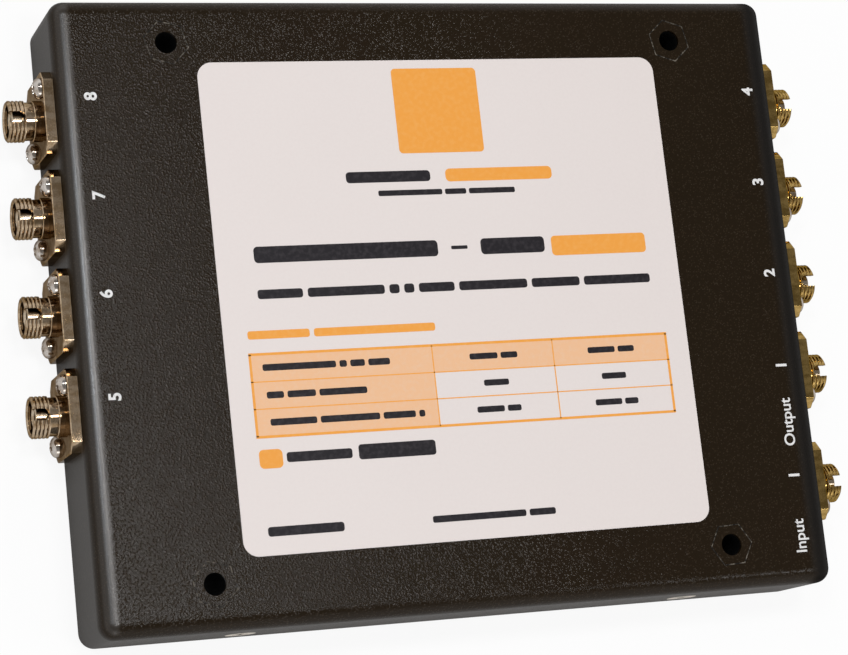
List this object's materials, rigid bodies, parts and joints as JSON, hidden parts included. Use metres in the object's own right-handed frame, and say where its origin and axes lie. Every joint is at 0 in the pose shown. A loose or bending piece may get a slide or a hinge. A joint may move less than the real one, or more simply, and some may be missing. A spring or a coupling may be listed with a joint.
{
  "type": "fibre optic splitter",
  "caption": "Flat black wall box that splits the light of a fibre: keyed threaded adapters with square flanges on both short sides, hexagonal fixing spacers and a pale label.",
  "frame": {"origin": "centre of the back face, where the box meets the wall", "axes": "+X along the long side towards the side with the input port, +Y towards the end of the sides away from the input, +Z from the wall towards the label"},
  "size_m": [0.1658, 0.1216, 0.0202],
  "materials": {
    "coat": "black-brown fine-textured powder coat on steel",
    "base_coat": "the same coat on the base sheet",
    "label": "satin pale sticker, bare of names",
    "steel": "plain stainless sheet",
    "plated_brass": "bright nickel plate with a warm cast",
    "ceramic": "white ground ceramic"
  },
  "bodies": {
    "root": {"cover": "coat", "base": "base_coat", "spacer_rear_left": "coat", "spacer_rear_right": "coat", "spacer_front_left": "coat", "spacer_front_right": "coat", "label": "label", "splitter_module": "steel", "saddle_left": "steel", "saddle_right": "steel", "adapter_input": "plated_brass", "adapter_output_1": "plated_brass", "adapter_output_5": "plated_brass", "adapter_output_2": "plated_brass", "adapter_output_6": "plated_brass", "adapter_output_3": "plated_brass", "adapter_output_7": "plated_brass", "adapter_output_4": "plated_brass", "adapter_output_8": "plated_brass", "sleeve_input": "ceramic", "sleeve_output_1": "ceramic", "sleeve_output_5": "ceramic", "sleeve_output_2": "ceramic", "sleeve_output_6": "ceramic", "sleeve_output_3": "ceramic", "sleeve_output_7": "ceramic", "sleeve_output_4": "ceramic", "sleeve_output_8": "ceramic"}
  },
  "joints": []
}
